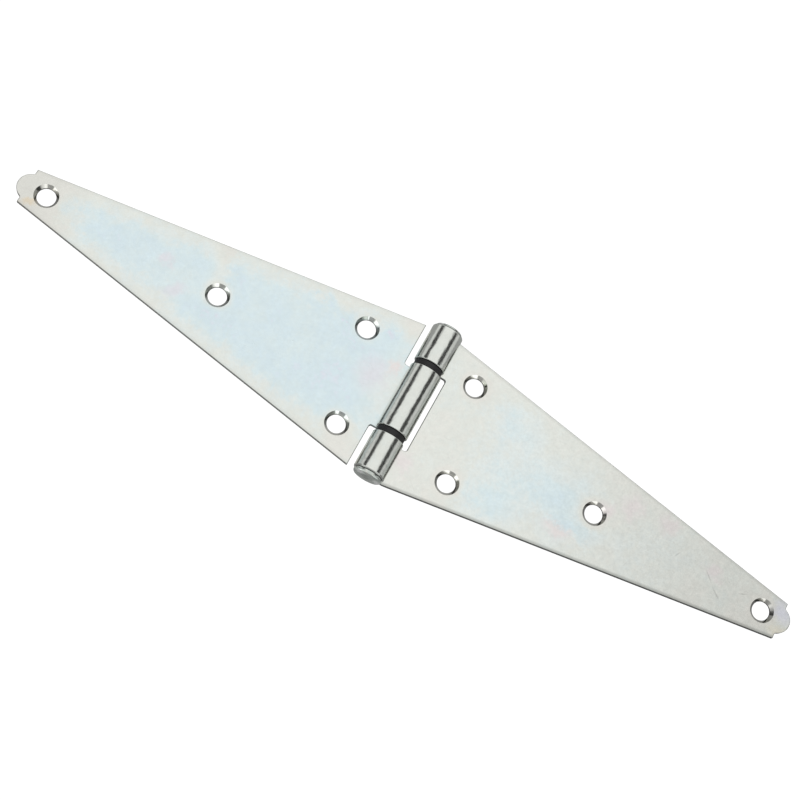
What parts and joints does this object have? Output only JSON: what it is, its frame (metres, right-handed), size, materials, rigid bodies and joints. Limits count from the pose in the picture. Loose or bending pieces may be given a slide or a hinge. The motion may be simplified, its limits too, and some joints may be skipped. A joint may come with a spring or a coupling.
{
  "type": "strap hinge",
  "caption": "Heavy steel strap hinge with two long tapered leaves, a three-knuckle barrel with black spacer rings, a headed pin and countersunk screw holes.",
  "frame": {"origin": "on the mounting plane of both leaves, under the middle of the pin's axis", "axes": "+X from the pin along the right leaf, +Y along the pin, +Z out of the countersunk faces"},
  "size_m": [0.4064, 0.081, 0.0153],
  "materials": {
    "zinc_plate": "bright zinc plating on rolled sheet, with a faint blue and straw haze and fine scratches",
    "zinc_pin": "zinc plated, slightly duller where the heads were formed",
    "black_plastic": "plain moulded black plastic"
  },
  "bodies": {
    "fixed_leaf": {"left_leaf": "zinc_plate", "ring_upper": "black_plastic", "ring_lower": "black_plastic"},
    "swinging_leaf": {"right_leaf": "zinc_plate", "hinge_pin": "zinc_pin"}
  },
  "joints": [
    {"name": "pin_swing", "type": "hinge", "parent": "fixed_leaf", "child": "swinging_leaf", "pos_m": [0, 0, 0.00765], "axis": [0, -1, 0], "range_deg": [-106, 182]}
  ]
}
